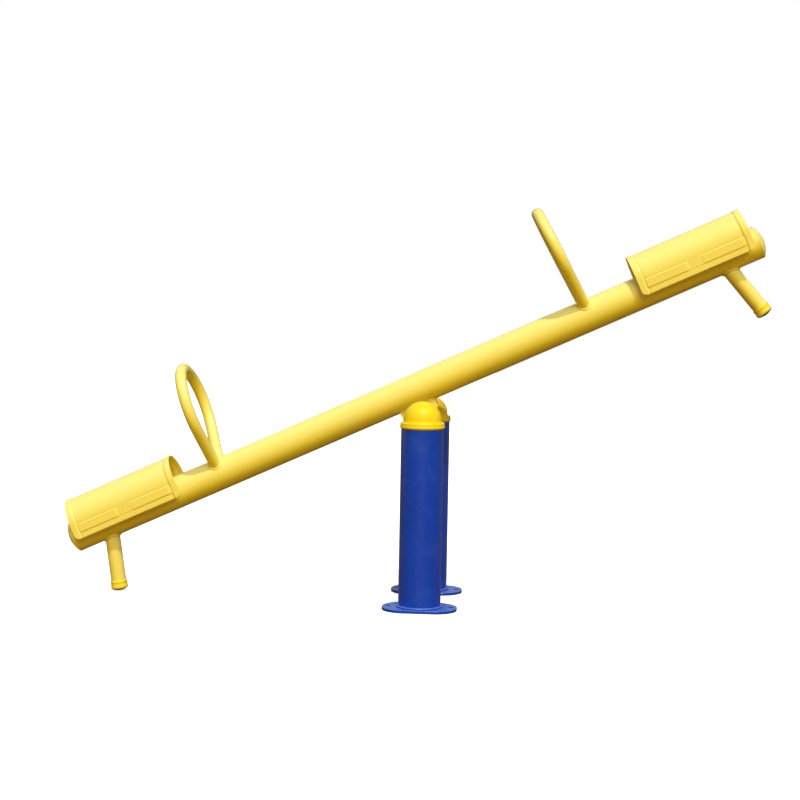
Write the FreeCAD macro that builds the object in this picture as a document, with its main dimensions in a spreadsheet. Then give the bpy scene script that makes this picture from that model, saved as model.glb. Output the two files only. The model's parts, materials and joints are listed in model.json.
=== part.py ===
import FreeCAD, Part
import math
import os
from types import SimpleNamespace

import Sketcher

# Two-seat playground seesaw. Millimetres, +Z up, ground at Z = 0.
# The origin is on the ground midway between the two posts. The pivot axis runs along Y above it.
# The beam runs along X and rests with its -X end down, standing on that end's foot pad.

os.makedirs("parts", exist_ok=True)
doc = FreeCAD.newDocument("Seesaw")
Vector = FreeCAD.Vector
Y_AXIS = Vector(0, 1, 0)
Z_AXIS = Vector(0, 0, 1)

DIMENSIONS = {
    # stand
    "post_spacing": 280,
    "post_radius": 57,
    "post_wall": 3.5,
    "post_top": 501,
    "plate_length": 202,
    "plate_width": 134,
    "plate_thick": 8,
    "plate_corner": 62,
    "plate_edge": 2,
    "anchor_pitch": 168,
    "anchor_radius": 7,
    "cap_rim_height": 17,
    "cap_rim_radius": 60.5,
    "cap_rim_chamfer": 4.5,
    "cap_rim_inset": 2,
    "cap_rim_slope": 3,
    "cap_seat": 14,
    "cap_dome_radius": 51,
    "cap_dome_centre": 21.7,
    "cap_wall": 3,
    # pivot
    "pivot_height": 468,
    "shaft_radius": 12.5,
    "thread_radius": 10,
    "shaft_step": 95,
    "shaft_half": 120,
    "shaft_chamfer": 2,
    "boss_radius": 17,
    "boss_start": 78,
    "boss_length": 18,
    "spacer_radius": 16,
    "shaft_washer_radius": 18,
    "shaft_washer_thick": 3,
    "shaft_nut_flats": 30,
    "shaft_nut_height": 16,
    "bearing_start": 48,
    "bearing_width": 15,
    "bearing_outer": 26,
    "ball_pitch_radius": 19.25,
    "ball_radius": 3.65,
    "race_radius": 4,
    "race_depth": 2.65,
    "seal_thick": 0.8,
    "seal_gap": 0.5,
    "seal_inset": 0.4,
    "cage_thick": 1.8,
    "cage_width": 9.6,
    "cage_pocket": 3.75,
    "housing_radius": 35,
    "housing_half": 66,
    "housing_shoulder": 23,
    "clip_groove": 27.4,
    "clip_inner": 23.6,
    "clip_thick": 1.2,
    "clip_slot": 1.3,
    "clip_gap": 8,
    "gusset_offset": 14,
    "gusset_thick": 8,
    "gusset_top_left": 44,
    "gusset_top_right": 60,
    "gusset_bottom": 28,
    "gusset_lip": 18,
    # beam, measured along it from the middle (along) and square to it from the pivot (above)
    "rest_tilt": 24.5,
    "beam_above": 117,
    "beam_radius": 44.5,
    "beam_wall": 3,
    "beam_half": 1024,
    "end_spigot": 20,
    "end_lip": 2.5,
    "end_dome": 17,
    "end_wall": 3,
    # seats
    "seat_along": 847,
    "seat_length": 322,
    "seat_radius": 68,
    "seat_crown": 34.5,
    "seat_skirt": -11,
    "seat_wall": 2.5,
    "band_width": 15,
    "band_height": 1.5,
    "rib_length": 118,
    "rib_gap": 46,
    "rib_low": 6,
    "rib_high": 29,
    "saddle_pitch": 200,
    "saddle_thick": 5,
    "saddle_bottom": -7,
    "saddle_tab_width": 32,
    "saddle_tab_depth": 26,
    "saddle_tab_top": 97,
    "stud_radius": 4,
    "stud_clear": 4.5,
    "stud_end": 82,
    "seat_washer_radius": 8,
    "seat_washer_thick": 1.6,
    "seat_nut_flats": 13,
    "seat_nut_height": 6.5,
    # handles
    "handle_left_along": -574,
    "handle_right_along": 535,
    "handle_lean": 3.8,
    "handle_tube": 16,
    "handle_wall": 2.5,
    "handle_foot": 28,
    "handle_foot_above": 30,
    "handle_ring": 112,
    "handle_ring_above": 196,
    # legs
    "leg_along": 917,
    "leg_lean": 16,
    "leg_radius": 21,
    "leg_wall": 3,
    "leg_length": 185.7,
    "foot_cap_radius": 23.4,
    "foot_cap_wrap": 17,
    "foot_cap_floor": 3,
    "foot_pad_radius": 21.4,
    "foot_pad_side": 2,
    "foot_pad_tip": 7,
    # fits and cutting room
    "push_fit": 0.2,
    "stretch_fit": 0.1,
    "overshoot": 5,
    "cutter_length": 300,
}
BALLS_PER_BEARING = 9

sheet = doc.addObject("Spreadsheet::Sheet", "dims")
for row, (alias, value) in enumerate(DIMENSIONS.items(), start=1):
    sheet.set(f"A{row}", alias)
    sheet.set(f"B{row}", str(value))
    sheet.setAlias(f"B{row}", alias)
doc.recompute()


class Term:
    """A size that carries its number and the sheet expression that drives it."""

    def __init__(self, number, text):
        self.number = float(number)
        self.text = text

    def __add__(self, other):
        other = term(other)
        return Term(self.number + other.number, f"({self.text} + {other.text})")

    def __sub__(self, other):
        other = term(other)
        return Term(self.number - other.number, f"({self.text} - {other.text})")

    def __mul__(self, other):
        other = term(other)
        return Term(self.number * other.number, f"({self.text} * {other.text})")

    def __truediv__(self, other):
        other = term(other)
        return Term(self.number / other.number, f"({self.text} / {other.text})")

    def __neg__(self):
        return self * -1

    __radd__ = __add__
    __rmul__ = __mul__


def term(value):
    """Wrap a plain number so that it can be mixed with sheet sizes."""
    if isinstance(value, Term):
        return value
    return Term(value, f"({float(value)})")


def guess(number):
    """A coordinate that the sketch works out from its other constraints."""
    return Term(number, None)


def cosine(angle):
    return Term(math.cos(math.radians(angle.number)), f"cos({angle.text} * 1 deg)")


def sine(angle):
    return Term(math.sin(math.radians(angle.number)), f"sin({angle.text} * 1 deg)")


S = SimpleNamespace(**{name: Term(size, f"dims.{name}") for name, size in DIMENSIONS.items()})
parts = []


def bind(item, **sizes):
    """Drive the named properties from the sheet."""
    for name, size in sizes.items():
        size = term(size)
        setattr(item, name, size.number)
        item.setExpression(name, size.text)


def place(item, x=0, y=0, z=0, axis=Z_AXIS, angle=0):
    """Put an item at x, y, z turned by angle about axis, all driven from the sheet."""
    x, y, z, angle = term(x), term(y), term(z), term(angle)
    rotation = FreeCAD.Rotation(axis, angle.number)
    item.Placement = FreeCAD.Placement(Vector(x.number, y.number, z.number), rotation)
    item.setExpression("Placement.Base.x", x.text)
    item.setExpression("Placement.Base.y", y.text)
    item.setExpression("Placement.Base.z", z.text)
    if angle.number:
        item.setExpression("Placement.Rotation.Angle", angle.text)
    return item


def place_on_beam(item, along=0, above=0, turn=0):
    """Move an item into the tilted beam's frame, which starts on the pivot axis."""
    along, above = term(along), term(above)
    x = along * cosine(S.rest_tilt) - above * sine(S.rest_tilt)
    z = S.pivot_height + along * sine(S.rest_tilt) + above * cosine(S.rest_tilt)
    return place(item, x=x, z=z, axis=-Y_AXIS, angle=S.rest_tilt + turn)


def finish(item, label):
    """Name a finished piece and list it for export."""
    item.Label = label
    parts.append(item)
    return item


def new_body(name):
    return doc.addObject("PartDesign::Body", name)


def new_sketch(body, name, plane, offset=0):
    """Start a sketch on one of the body's origin planes, moved along its normal by offset."""
    sketch = body.newObject("Sketcher::SketchObject", name)
    support = next(item for item in body.Origin.OriginFeatures if item.Role == plane)
    sketch.AttachmentSupport = (support, [""])
    sketch.MapMode = "FlatFace"
    offset = term(offset)
    if offset.number:
        sketch.AttachmentOffset = FreeCAD.Placement(Vector(0, 0, offset.number), FreeCAD.Rotation())
        sketch.setExpression("AttachmentOffset.Base.z", offset.text)
    return sketch


def constrain(sketch, kind, *arguments, size=None):
    """Add a constraint, driven from the sheet where it has a size."""
    if size is None:
        sketch.addConstraint(Sketcher.Constraint(kind, *arguments))
        return
    index = sketch.addConstraint(Sketcher.Constraint(kind, *arguments, size.number))
    sketch.setExpression(f"Constraints[{index}]", size.text)


def pin(sketch, edge, end, x, y):
    """Fix a point of the sketch at x, y."""
    for kind, axis, size in (("DistanceX", -2, term(x)), ("DistanceY", -1, term(y))):
        if size.text is None:
            continue
        if size.number == 0:
            constrain(sketch, "PointOnObject", edge, end, axis)
        else:
            constrain(sketch, kind, -1, 1, edge, end, size=size)


def draw_circle(sketch, radius, x=0, y=0):
    radius = term(radius)
    centre = Vector(term(x).number, term(y).number, 0)
    edge = sketch.addGeometry(Part.Circle(centre, Z_AXIS, radius.number))
    constrain(sketch, "Radius", edge, size=radius)
    pin(sketch, edge, 3, x, y)


def draw_loop(sketch, corners, arcs=None, closed=True, joint="Coincident"):
    """Join the corners in turn. arcs gives (centre, clockwise) for each side that is an arc."""
    arcs = arcs or {}
    points = [Vector(term(x).number, term(y).number, 0) for x, y in corners]
    sides = []
    for number, start in enumerate(points if closed else points[:-1]):
        stop = points[(number + 1) % len(points)]
        if number not in arcs:
            sides.append((sketch.addGeometry(Part.LineSegment(start, stop)), 1, 2))
            continue
        (x, y), clockwise = arcs[number]
        centre = Vector(term(x).number, term(y).number, 0)
        first, last = (stop, start) if clockwise else (start, stop)
        angles = [math.atan2(p.y - centre.y, p.x - centre.x) for p in (first, last)]
        circle = Part.Circle(centre, Z_AXIS, (start - centre).Length)
        edge = sketch.addGeometry(Part.ArcOfCircle(circle, *angles))
        sides.append((edge, 2, 1) if clockwise else (edge, 1, 2))
    for number in range(len(sides) if closed else len(sides) - 1):
        edge, _, end = sides[number]
        following, begin, _ = sides[(number + 1) % len(sides)]
        constrain(sketch, joint, edge, end, following, begin)
    for number, (x, y) in enumerate(corners):
        if number < len(sides):
            edge, end, _ = sides[number]
        else:
            edge, _, end = sides[-1]
        pin(sketch, edge, end, x, y)
    for number, ((x, y), _) in arcs.items():
        pin(sketch, sides[number][0], 3, x, y)
    return sides


def pad(body, sketch, length, midplane=False, reverse=False):
    feature = body.newObject("PartDesign::Pad", f"{sketch.Name}_pad")
    feature.Profile = sketch
    feature.Midplane = midplane
    feature.Reversed = reverse
    bind(feature, Length=length)
    doc.recompute()
    return feature


def pocket(body, sketch, length=None, midplane=False, reverse=False):
    """Cut a pocket, right through where no length is given."""
    feature = body.newObject("PartDesign::Pocket", f"{sketch.Name}_pocket")
    feature.Profile = sketch
    feature.Midplane = midplane
    feature.Reversed = reverse
    if length is None:
        feature.Type = "ThroughAll"
    else:
        bind(feature, Length=length)
    doc.recompute()
    return feature


def revolve(body, sketch, axis):
    feature = body.newObject("PartDesign::Revolution", f"{sketch.Name}_turn")
    feature.Profile = sketch
    feature.ReferenceAxis = (sketch, [axis])
    feature.Angle = 360
    doc.recompute()
    return feature


def turned(name, corners, arcs=None, plane="XY_Plane", axis="V_Axis"):
    """A body turned from one closed profile."""
    body = new_body(name)
    sketch = new_sketch(body, f"{name}_profile", plane)
    draw_loop(sketch, corners, arcs)
    revolve(body, sketch, axis)
    return body


def turned_ring(name, inner, outer, start, stop):
    """A plain ring on the Y axis between two stations."""
    corners = [(inner, start), (outer, start), (outer, stop), (inner, stop)]
    return turned(name, corners)


def fillet(body, base, edges, radius):
    feature = body.newObject("PartDesign::Fillet", f"{base.Name}_round")
    feature.Base = (base, edges)
    bind(feature, Radius=radius)
    doc.recompute()
    return feature


def edge_names(shape, wanted):
    """Names of the edges for which wanted(edge) holds."""
    return [f"Edge{number}" for number, edge in enumerate(shape.Edges, start=1) if wanted(edge)]


def cylinder(name, radius, height):
    item = doc.addObject("Part::Cylinder", name)
    bind(item, Radius=radius, Height=height)
    return item


def cut(name, base, tool):
    item = doc.addObject("Part::Cut", name)
    item.Base = base
    item.Tool = tool
    return item


def compound(name, members):
    item = doc.addObject("Part::Compound", name)
    item.Links = members
    return item


def beam_cutter(name, along=0):
    """The space the beam takes, in the beam's frame, for coping pieces that meet it."""
    item = cylinder(name, S.beam_radius, S.cutter_length)
    return place(item, x=term(along) - S.cutter_length / 2, z=S.beam_above, axis=Y_AXIS, angle=90)


def hex_nut(name, flats, height, bore):
    """A hexagon nut standing on its own Z axis."""
    blank = doc.addObject("Part::Prism", f"{name}_blank")
    blank.Polygon = 6
    bind(blank, Circumradius=flats / (2 * math.cos(math.pi / 6)), Height=height)
    return cut(name, blank, cylinder(f"{name}_bore", bore, height))


def washer(name, outer, inner, thick):
    """A flat washer standing on its own Z axis."""
    return cut(name, cylinder(f"{name}_disc", outer, thick), cylinder(f"{name}_bore", inner, thick))


# ---------------------------------------------------------------- stand
ENDS = (("front", -1), ("rear", 1))
HALF_SPACING = S.post_spacing / 2


def place_on_post(item, side, z=0):
    """Stand an item on a post's axis with its local +Y towards the beam."""
    return place(item, y=HALF_SPACING * side, z=z, angle=90 + 90 * side)


def make_foot_plate(name):
    body = new_body(name)
    sketch = new_sketch(body, f"{name}_outline", "XY_Plane")
    x, y = S.plate_length / 2, S.plate_width / 2
    draw_loop(sketch, [(-x, -y), (x, -y), (x, y), (-x, y)])
    slab = pad(body, sketch, S.plate_thick)
    upright = edge_names(slab.Shape, lambda edge: abs(edge.tangentAt(edge.FirstParameter).z) > 0.9)
    rounded = fillet(body, slab, upright, S.plate_corner)
    top = S.plate_thick.number
    rim = edge_names(rounded.Shape, lambda edge: edge.BoundBox.ZMin > top - 0.01)
    softened = fillet(body, rounded, rim, S.plate_edge)
    body.Tip = softened
    holes = new_sketch(body, f"{name}_holes", "XY_Plane")
    for side in (-1, 1):
        draw_circle(holes, S.anchor_radius, x=S.anchor_pitch / 2 * side)
    pocket(body, holes, S.plate_thick, reverse=True)
    return body


def make_post(name):
    body = new_body(name)
    ring = new_sketch(body, f"{name}_ring", "XY_Plane")
    draw_circle(ring, S.post_radius)
    draw_circle(ring, S.post_radius - S.post_wall)
    pad(body, ring, S.post_top - S.plate_thick)
    hole = new_sketch(body, f"{name}_boss_hole", "XZ_Plane")
    draw_circle(hole, S.boss_radius, y=S.pivot_height - S.plate_thick)
    pocket(body, hole, S.post_radius + S.overshoot)
    return body


def make_post_cap(name):
    rim, wall, height = S.cap_rim_radius, S.cap_wall, S.cap_rim_height
    dome, centre = S.cap_dome_radius, S.cap_dome_centre
    socket, inset = S.post_radius + S.push_fit, rim - S.cap_rim_inset
    corners = [
        (socket, 0),
        (inset, 0),
        (rim, S.cap_rim_chamfer),
        (rim, height - S.cap_rim_slope),
        (inset, height),
        (dome, height),
        (dome, centre),
        (0, guess(dome.number + centre.number)),
        (0, guess(dome.number - wall.number + centre.number)),
        (dome - wall, centre),
        (dome - wall, S.cap_seat),
        (socket, S.cap_seat),
    ]
    arcs = {6: ((0, centre), False), 8: ((0, centre), True)}
    return turned(name, corners, arcs, plane="XZ_Plane")


for end, side in ENDS:
    foot = make_foot_plate(f"{end}_foot_plate")
    finish(place_on_post(foot, side), f"{end}_foot_plate")
    post = make_post(f"{end}_post")
    finish(place_on_post(post, side, z=S.plate_thick), f"{end}_post")
    cap = make_post_cap(f"{end}_post_cap")
    finish(place_on_post(cap, side, z=S.post_top - S.cap_seat), f"{end}_post_cap")

# ---------------------------------------------------------------- pivot
# Every turned pivot piece is drawn about the Y axis with Y = 0 midway between the posts.


def place_on_pivot(item):
    return place(item, z=S.pivot_height)


def make_shaft(name):
    wide, narrow, chamfer = S.shaft_radius, S.thread_radius, S.shaft_chamfer
    corners = [
        (0, -S.shaft_half),
        (narrow - chamfer, -S.shaft_half),
        (narrow, chamfer - S.shaft_half),
        (narrow, -S.shaft_step),
        (wide, -S.shaft_step),
        (wide, S.shaft_step),
        (narrow, S.shaft_step),
        (narrow, S.shaft_half - chamfer),
        (narrow - chamfer, S.shaft_half),
        (0, S.shaft_half),
    ]
    return turned(name, corners)


def make_housing(name):
    seat, groove, half = S.bearing_outer, S.clip_groove, S.housing_half
    slot_start = S.bearing_start + S.bearing_width
    slot_stop = slot_start + S.clip_slot
    near = [
        (S.housing_shoulder, S.bearing_start),
        (seat, S.bearing_start),
        (seat, slot_start),
        (groove, slot_start),
        (groove, slot_stop),
        (seat, slot_stop),
        (seat, half),
        (S.housing_radius, half),
    ]
    far = [(radius, -station) for radius, station in reversed(near)]
    return turned(name, near + far)


def make_race(name, middle, side):
    """A bearing ring with its ball groove: the inner ring for side -1, the outer for side 1."""
    depth, race = S.race_depth, S.race_radius
    half = S.bearing_width / 2 * side
    lip = math.sqrt(race.number ** 2 - depth.number ** 2) * side
    seat = S.bearing_outer if side > 0 else S.shaft_radius
    shoulder = S.ball_pitch_radius + depth * side
    corners = [
        (seat, middle + half),
        (shoulder, middle + half),
        (shoulder, guess(middle.number + lip)),
        (shoulder, guess(middle.number - lip)),
        (shoulder, middle - half),
        (seat, middle - half),
    ]
    body = new_body(name)
    sketch = new_sketch(body, f"{name}_profile", "XY_Plane")
    sides = draw_loop(sketch, corners, {2: ((S.ball_pitch_radius, middle), True)})
    constrain(sketch, "Radius", sides[2][0], size=race)
    revolve(body, sketch, "V_Axis")
    return body


def make_ball_ring(name, middle, radius):
    """One sphere for each ball, round the pitch circle at station middle."""
    balls = []
    for number in range(BALLS_PER_BEARING):
        ball = doc.addObject("Part::Sphere", f"{name}_{number + 1}")
        bind(ball, Radius=radius)
        angle = term(360 * (number + 0.5) / BALLS_PER_BEARING)
        across = S.ball_pitch_radius * cosine(angle)
        up = S.ball_pitch_radius * sine(angle)
        balls.append(place(ball, x=across, y=middle, z=up))
    return compound(name, balls)


def make_cage(name, middle):
    """A band with one radial pocket for each ball."""
    pitch, half_thick, half_width = S.ball_pitch_radius, S.cage_thick / 2, S.cage_width / 2
    stations = (middle - half_width, middle + half_width)
    band = turned_ring(f"{name}_band", pitch - half_thick, pitch + half_thick, *stations)
    pockets = []
    start, reach = pitch - S.race_radius, S.race_radius * 2
    for number in range(BALLS_PER_BEARING):
        drill = cylinder(f"{name}_pocket_{number + 1}", S.cage_pocket, reach)
        angle = term(360 * (number + 0.5) / BALLS_PER_BEARING)
        x, z = start * cosine(angle), start * sine(angle)
        pockets.append(place(drill, x=x, y=middle, z=z, axis=Y_AXIS, angle=90 + -angle))
    return cut(name, band, compound(f"{name}_pockets", pockets))


def make_seals(name, middle):
    """The two rubber seals of one bearing, fixed to its outer ring."""
    inner = S.ball_pitch_radius - S.race_depth + S.seal_gap
    outer = S.ball_pitch_radius + S.race_depth
    edge = S.bearing_width / 2 - S.seal_inset
    rings = []
    for side, word in ((-1, "inboard"), (1, "outboard")):
        start, stop = middle + (edge - S.seal_thick) * side, middle + edge * side
        low, high = (start, stop) if side > 0 else (stop, start)
        rings.append(turned_ring(f"{name}_{word}", inner, outer, low, high))
    return compound(name, rings)


def make_clip(name, side):
    """An internal retaining ring outside one bearing, with its gap at the bottom."""
    near = (S.bearing_start + S.bearing_width) * side
    far = near + S.clip_thick * side
    low, high = (near, far) if side > 0 else (far, near)
    ring = turned_ring(f"{name}_ring", S.clip_inner, S.clip_groove - S.stretch_fit, low, high)
    gap = doc.addObject("Part::Box", f"{name}_gap")
    bind(gap, Length=S.clip_gap, Width=S.clip_thick * 2, Height=S.clip_gap)
    place(gap, x=-S.clip_gap / 2, y=low - S.clip_thick / 2, z=-S.clip_groove - S.clip_thick)
    return cut(name, ring, gap)


for end, side in ENDS:
    boss_near, boss_far = S.boss_start, S.boss_start + S.boss_length
    bearing_far = S.bearing_start + S.bearing_width
    stations = [(boss_near, boss_far), (bearing_far, boss_near)]
    if side < 0:
        stations = [(-far, -near) for near, far in stations]
    boss = turned_ring(f"{end}_shaft_boss", S.shaft_radius, S.boss_radius, *stations[0])
    finish(place_on_pivot(boss), f"{end}_shaft_boss")
    spacer = turned_ring(f"{end}_spacer", S.shaft_radius, S.spacer_radius, *stations[1])
    finish(place_on_pivot(spacer), f"{end}_spacer")

shaft = make_shaft("pivot_shaft")
finish(place_on_pivot(shaft), "pivot_shaft")
sleeve = turned_ring(
    "inner_spacer", S.shaft_radius, S.spacer_radius, -S.bearing_start, S.bearing_start
)
finish(place_on_pivot(sleeve), "inner_spacer")

shaft_washers, shaft_nuts = [], []
for end, side in ENDS:
    face = S.boss_start + S.boss_length
    disc = washer(f"{end}_shaft_washer", S.shaft_washer_radius, S.thread_radius, S.shaft_washer_thick)
    nut = hex_nut(f"{end}_shaft_nut", S.shaft_nut_flats, S.shaft_nut_height, S.thread_radius)
    shaft_washers.append(place(disc, y=face * side, axis=Vector(-side, 0, 0), angle=90))
    seat_face = face + S.shaft_washer_thick
    shaft_nuts.append(place(nut, y=seat_face * side, axis=Vector(-side, 0, 0), angle=90))
finish(place_on_pivot(compound("shaft_washers", shaft_washers)), "shaft_washers")
finish(place_on_pivot(compound("shaft_nuts", shaft_nuts)), "shaft_nuts")

clips = []
for end, side in ENDS:
    middle = (S.bearing_start + S.bearing_width / 2) * side
    inner = make_race(f"{end}_bearing_inner_ring", middle, -1)
    finish(place_on_pivot(inner), f"{end}_bearing_inner_ring")
    outer = make_race(f"{end}_bearing_outer_ring", middle, 1)
    finish(place_on_beam(outer), f"{end}_bearing_outer_ring")
    seals = make_seals(f"{end}_bearing_seals", middle)
    finish(place_on_beam(seals), f"{end}_bearing_seals")
    cage = make_cage(f"{end}_bearing_cage", middle)
    finish(place_on_pivot(cage), f"{end}_bearing_cage")
    balls = make_ball_ring(f"{end}_bearing_balls", middle, S.ball_radius)
    finish(place_on_pivot(balls), f"{end}_bearing_balls")
    clips.append(make_clip(f"{end}_clip", side))
finish(place_on_beam(compound("housing_clips", clips)), "housing_clips")
finish(place_on_beam(make_housing("bearing_housing")), "bearing_housing")


def make_gusset(name, side):
    """A cheek plate between the beam's underside and the bearing housing."""
    body = new_body(f"{name}_plate")
    station = S.gusset_offset * -side
    sketch = new_sketch(body, f"{name}_outline", "XZ_Plane", offset=station)
    left, right, bottom = S.gusset_top_left, S.gusset_top_right, S.gusset_bottom
    high, low = S.beam_above - S.beam_radius / 2, 0
    knee = high - S.beam_radius / 2 - S.gusset_lip
    corners = [
        (-bottom, low),
        (bottom, low),
        (right, knee),
        (right, high),
        (-left, high),
        (-left, knee),
    ]
    draw_loop(sketch, corners)
    pad(body, sketch, S.gusset_thick, midplane=True)
    hole = new_sketch(body, f"{name}_housing_hole", "XZ_Plane", offset=station)
    draw_circle(hole, S.housing_radius)
    pocket(body, hole, S.gusset_thick * 2, midplane=True)
    return cut(f"{name}_coped", body, beam_cutter(f"{name}_beam"))


for end, side in ENDS:
    gusset = make_gusset(f"{end}_gusset", side)
    finish(place_on_beam(gusset), f"{end}_gusset")

# ---------------------------------------------------------------- beam
beam = new_body("beam_tube")
section = new_sketch(beam, "beam_section", "YZ_Plane")
draw_circle(section, S.beam_radius, y=S.beam_above)
draw_circle(section, S.beam_radius - S.beam_wall, y=S.beam_above)
pad(beam, section, S.beam_half * 2, midplane=True)
finish(place_on_beam(beam), "beam_tube")


def make_end_cap(name):
    """A domed plug turned about its own X axis, its lip against the tube's end at X = 0."""
    outer, wall, dome, lip = S.beam_radius, S.end_wall, S.end_dome, S.end_lip
    spigot = outer - S.beam_wall - S.push_fit
    rise, run = dome.number - lip.number, outer.number
    crown = (rise ** 2 + run ** 2) / (2 * rise)
    centre = dome.number - crown
    inner_reach = centre + math.sqrt((crown - wall.number) ** 2 - (spigot - wall).number ** 2)
    corners = [
        (-S.end_spigot, spigot - wall),
        (-S.end_spigot, spigot),
        (0, spigot),
        (0, outer),
        (lip, outer),
        (dome, 0),
        (dome - wall, 0),
        (guess(inner_reach), spigot - wall),
    ]
    body = new_body(name)
    sketch = new_sketch(body, f"{name}_profile", "XZ_Plane")
    outer_middle, inner_middle = (guess(centre), 0), (guess(centre), guess(0))
    sides = draw_loop(sketch, corners, {4: (outer_middle, True), 6: (inner_middle, False)})
    constrain(sketch, "Coincident", sides[4][0], 3, sides[6][0], 3)
    revolve(body, sketch, "H_Axis")
    return body


HANDS = (("left", -1), ("right", 1))
for hand, side in HANDS:
    plug = make_end_cap(f"{hand}_end_cap")
    turn = 0 if side > 0 else 180
    place_on_beam(plug, along=S.beam_half * side, above=S.beam_above, turn=turn)
    finish(plug, f"{hand}_end_cap")


# ---------------------------------------------------------------- seats
def arch(sketch, radius, crown, skirt):
    """An upside-down U of the given radius, its round centre at crown above the beam's axis."""
    crown_up, skirt_up = S.beam_above + crown, S.beam_above + skirt
    far_left = guess(-radius.number)
    corners = [(-radius, skirt_up), (radius, skirt_up), (radius, crown_up), (far_left, crown_up)]
    draw_loop(sketch, corners, {2: ((0, crown_up), False)})


def make_seat(name, side):
    """A pressed saddle seat: a thin arch with a raised band at each end and four raised ribs."""
    body = new_body(name)
    middle = S.seat_along * side
    panel = new_sketch(body, f"{name}_panel", "YZ_Plane", offset=middle)
    arch(panel, S.seat_radius, S.seat_crown, S.seat_skirt)
    pad(body, panel, S.seat_length, midplane=True)
    reach = (S.seat_length - S.band_width) / 2
    for end, direction in (("lower", -1), ("upper", 1)):
        band = new_sketch(body, f"{name}_{end}_band", "YZ_Plane", offset=middle + reach * direction)
        arch(band, S.seat_radius + S.band_height, S.seat_crown, S.seat_skirt)
        pad(body, band, S.band_width, midplane=True)
    shift = (S.rib_length + S.rib_gap) / 2
    for end, direction in (("lower", -1), ("upper", 1)):
        ribs = new_sketch(body, f"{name}_{end}_ribs", "YZ_Plane", offset=middle + shift * direction)
        proud = S.seat_radius + S.band_height / 2
        low, high = S.beam_above + S.rib_low, S.beam_above + S.rib_high
        draw_loop(ribs, [(-proud, low), (proud, low), (proud, high), (-proud, high)])
        pad(body, ribs, S.rib_length, midplane=True)
    hollow = new_sketch(body, f"{name}_hollow", "YZ_Plane", offset=middle)
    arch(hollow, S.seat_radius - S.seat_wall, S.seat_crown, S.seat_skirt - S.overshoot)
    pocket(body, hollow, S.seat_length + S.overshoot * 2, midplane=True)
    return body


def make_saddle(name, along):
    """A bulkhead that sits on the beam under a seat, with a tab for the seat's stud."""
    body = new_body(name)
    plate = new_sketch(body, f"{name}_plate", "YZ_Plane", offset=along)
    arch(plate, S.seat_radius - S.seat_wall, S.seat_crown, S.saddle_bottom)
    pad(body, plate, S.saddle_thick, midplane=True)
    tab = new_sketch(body, f"{name}_tab", "YZ_Plane", offset=along)
    half, top = S.saddle_tab_width / 2, S.beam_above + S.saddle_tab_top
    under = top - S.saddle_thick
    draw_loop(tab, [(-half, under), (half, under), (half, top), (-half, top)])
    pad(body, tab, S.saddle_tab_depth + S.saddle_thick / 2)
    hole = new_sketch(body, f"{name}_hole", "XY_Plane", offset=top)
    draw_circle(hole, S.stud_clear, x=along + stud_shift())
    pocket(body, hole, S.saddle_thick * 2)
    cope = new_sketch(body, f"{name}_cope", "YZ_Plane", offset=along)
    draw_circle(cope, S.beam_radius, y=S.beam_above)
    pocket(body, cope, S.saddle_thick * 2, midplane=True)
    return body


def stud_shift():
    """How far a stud stands from its saddle plate's middle."""
    return S.saddle_thick / 2 + S.saddle_tab_depth / 2


studs, seat_washers, seat_nuts = [], [], []
for hand, side in HANDS:
    seat = make_seat(f"{hand}_seat", side)
    finish(place_on_beam(seat), f"{hand}_seat")
    for word, direction in (("inner", -1), ("outer", 1)):
        name = f"{hand}_{word}_saddle"
        along = (S.seat_along + S.saddle_pitch / 2 * direction) * side
        finish(place_on_beam(make_saddle(name, along)), name)
        where = along + stud_shift()
        tab_bottom = S.beam_above + S.saddle_tab_top - S.saddle_thick
        stud_top = S.beam_above + S.seat_crown + S.seat_radius - S.seat_wall - S.push_fit
        stud = cylinder(f"{name}_stud", S.stud_radius, stud_top - S.beam_above - S.stud_end)
        studs.append(place(stud, x=where, z=S.beam_above + S.stud_end))
        disc = washer(f"{name}_washer", S.seat_washer_radius, S.stud_radius, S.seat_washer_thick)
        seat_washers.append(place(disc, x=where, z=tab_bottom - S.seat_washer_thick))
        nut = hex_nut(f"{name}_nut", S.seat_nut_flats, S.seat_nut_height, S.stud_radius)
        under = tab_bottom - S.seat_washer_thick - S.seat_nut_height
        seat_nuts.append(place(nut, x=where, z=under))
finish(place_on_beam(compound("seat_studs", studs)), "seat_studs")
finish(place_on_beam(compound("seat_washers", seat_washers)), "seat_washers")
finish(place_on_beam(compound("seat_nuts", seat_nuts)), "seat_nuts")


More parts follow.
